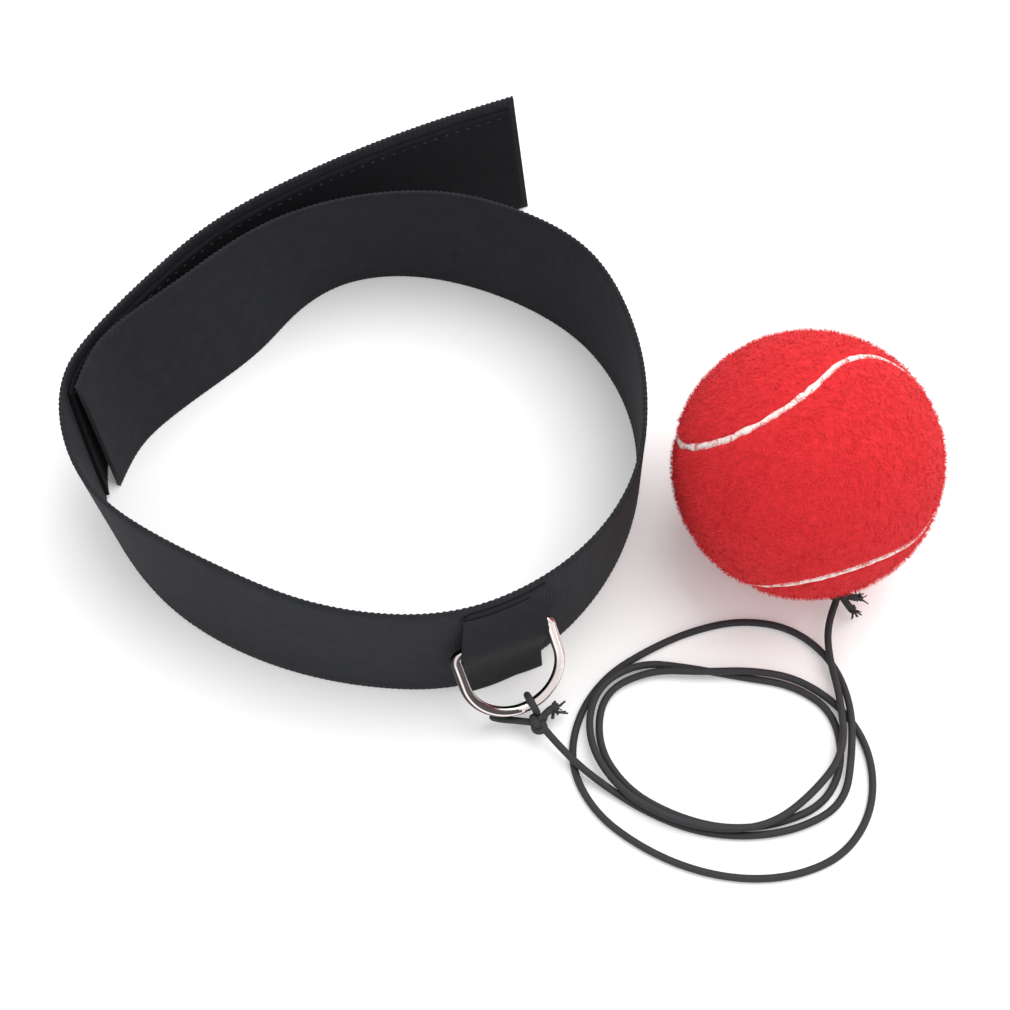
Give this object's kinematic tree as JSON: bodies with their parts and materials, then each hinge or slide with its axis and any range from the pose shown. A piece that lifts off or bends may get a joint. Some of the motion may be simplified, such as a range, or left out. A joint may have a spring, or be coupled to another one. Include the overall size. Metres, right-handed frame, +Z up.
{
  "type": "reflex_ball_headband",
  "caption": "Reflex boxing trainer: a webbing headband with a loose hook-tape tail, a D-ring on the front, and a felt-covered ball on a long thin elastic cord.",
  "frame": {"origin": "centre of the head loop, on the plane the strap stands on", "axes": "+Z up along the strap's width, +X from the loose left turn across the head loop towards the ball, -Y towards the ring"},
  "size_m": [0.2141, 0.2083, 0.065],
  "materials": {
    "webbing": "ribbed woven elastic",
    "hook_tape": "matte pile",
    "thread": "matte",
    "patch": "smooth tape",
    "ring_metal": "black nickel, polished",
    "cord": "braided elastic",
    "felt_red": "napped felt",
    "seam": "matte, pale",
    "core_rubber": "matte"
  },
  "bodies": {
    "headband": {"band_webbing": "webbing", "loop_tape": "hook_tape", "loop_tape_stitches": "thread", "ring_patch": "patch", "patch_stitches": "thread"},
    "tail": {"tail_webbing": "webbing", "hook_tape": "hook_tape", "hook_tape_stitches": "thread"},
    "ring": {"d_ring": "ring_metal", "ring_loop": "cord", "ring_knot": "cord", "ring_knot_tails": "cord"},
    "tether": {"cord": "cord"},
    "ball_tie": {"ball_knot": "cord", "ball_knot_tails": "cord"},
    "ball": {"ball_stitch": "cord", "core_shell_upper": "core_rubber", "core_shell_lower": "core_rubber", "felt_panel_a": "felt_red", "felt_panel_b": "felt_red", "seam_cement": "seam"}
  },
  "joints": [
    {"name": "tail_peel", "type": "hinge", "parent": "headband", "child": "tail", "pos_m": [-0.0743, -0.0036, 0.02], "axis": [0, 0, 1], "range_deg": [0, 85]},
    {"name": "ring_swing", "type": "hinge", "parent": "headband", "child": "ring", "pos_m": [0.03365, -0.0612, 0.02395], "axis": [-0.9156, -0.3957, -0.0714], "range_deg": [0, 90]},
    {"name": "tether_swing", "type": "hinge", "parent": "ring", "child": "tether", "pos_m": [0.0429, -0.075, 0.0058], "axis": [0, 0, -1], "range_deg": [0, 15]},
    {"name": "ball_swing", "type": "hinge", "parent": "tether", "child": "ball_tie", "pos_m": [0.11801, -0.04049, 0.00641], "axis": [-0.8978, -0.4404, 0.0009], "range_deg": [-25, 12]},
    {"name": "ball_twist", "type": "hinge", "parent": "ball_tie", "child": "ball", "pos_m": [0.11801, -0.04049, 0.00641], "axis": [0.297, -0.6071, -0.7371], "continuous": true}
  ]
}
